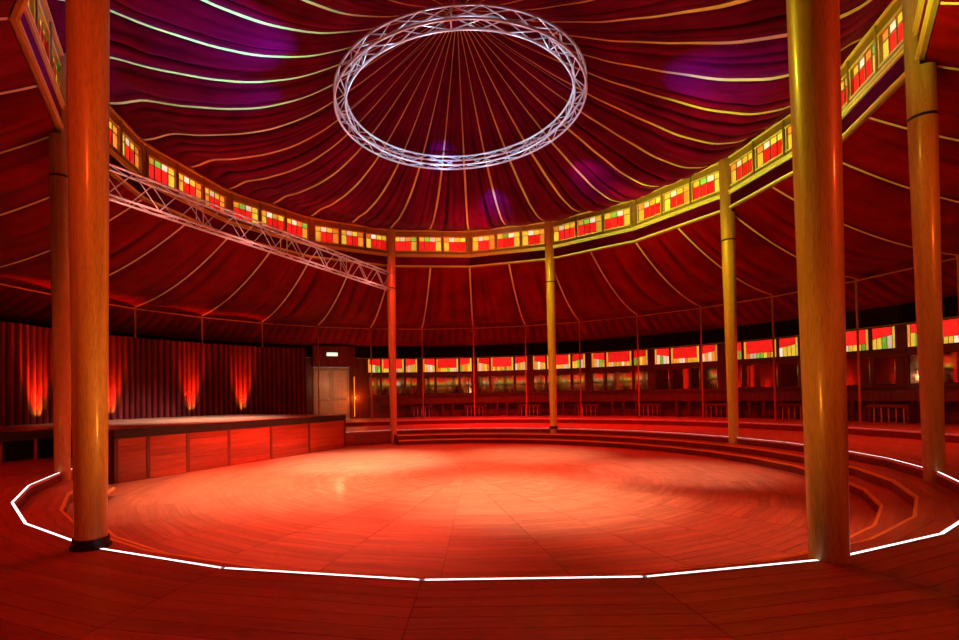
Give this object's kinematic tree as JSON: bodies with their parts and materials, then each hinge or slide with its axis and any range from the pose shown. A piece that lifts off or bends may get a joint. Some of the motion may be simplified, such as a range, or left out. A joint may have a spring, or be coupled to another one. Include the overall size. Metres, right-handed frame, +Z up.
{
  "type": "round mirror tent with sunken dance floor",
  "caption": "Round timber and canvas show tent: velvet ceilings on a ring of masts round a sunken dance floor, with coloured glass, panelled walls, a stage and an exit door.",
  "frame": {"origin": "on the ground, at the centre of the ring of masts and of the round plan", "axes": "+Z up; the stage looks in from 157.5 degrees about +Z from +X, and the picture was taken from the -Y side"},
  "size_m": [30.84, 30.84, 12.12],
  "materials": {
    "floor_boards": "varnished",
    "mast_timber": "varnished",
    "pole_paint": "satin",
    "dark_timber": "satin",
    "velvet": "soft pile",
    "canvas": "matt",
    "coloured_glass": "leaded",
    "door_paint": "satin",
    "truss_metal": "mill"
  },
  "bodies": {
    "tent": {"aisle_ceiling": "velvet", "aisle_platform_1": "floor_boards", "aisle_platform_2": "floor_boards", "aisle_platform_3": "floor_boards", "aisle_platform_4": "floor_boards", "aisle_poles_1": "pole_paint", "aisle_poles_2": "pole_paint", "aisle_poles_3": "pole_paint", "aisle_poles_4": "pole_paint", "counter_1": "dark_timber", "counter_2": "dark_timber", "counter_3": "dark_timber", "crown": "dark_timber", "dance_floor": "floor_boards", "deck_1": "floor_boards", "deck_2": "floor_boards", "deck_3": "floor_boards", "deck_4": "floor_boards", "door_pelmet": "velvet", "hall_ceiling_1": "velvet", "hall_ceiling_2": "velvet", "hall_ceiling_3": "velvet", "hall_ceiling_4": "velvet", "lantern_frame_1": "dark_timber", "lantern_frame_2": "dark_timber", "lantern_frame_3": "dark_timber", "lantern_frame_4": "dark_timber", "lantern_glass": "coloured_glass", "lower_roof": "canvas", "lower_step": "floor_boards", "mast_1": "mast_timber", "mast_2": "mast_timber", "mast_3": "mast_timber", "mast_4": "mast_timber", "mast_5": "mast_timber", "mast_6": "mast_timber", "mast_7": "mast_timber", "outer_wall_1": "dark_timber", "outer_wall_2": "dark_timber", "outer_wall_4": "dark_timber", "outer_wall_5": "dark_timber", "outer_wall_6": "dark_timber", "outer_wall_7": "dark_timber", "outer_wall_8": "dark_timber", "ring_truss": "truss_metal", "stage_backdrop": "velvet", "stage_base": "dark_timber", "stage_deck": "floor_boards", "stage_truss": "truss_metal", "truss_cables": "truss_metal", "upper_roof": "canvas", "upper_step": "floor_boards", "wall_glass": "coloured_glass", "wall_left_of_door": "dark_timber", "wall_over_door": "dark_timber", "wall_right_of_door": "dark_timber", "wing_skirt": "dark_timber"},
    "left_door": {"door_leaf_left": "door_paint"},
    "right_door": {"door_leaf_right": "door_paint"}
  },
  "joints": [
    {"name": "left_door_hinge", "type": "hinge", "parent": "tent", "child": "left_door", "pos_m": [-8.14498, 12.66128, 2.16], "axis": [0, 0, 1], "range_deg": [0, 90]},
    {"name": "right_door_hinge", "type": "hinge", "parent": "tent", "child": "right_door", "pos_m": [-6.53106, 13.52394, 2.16], "axis": [0, 0, -1], "range_deg": [0, 90]}
  ]
}
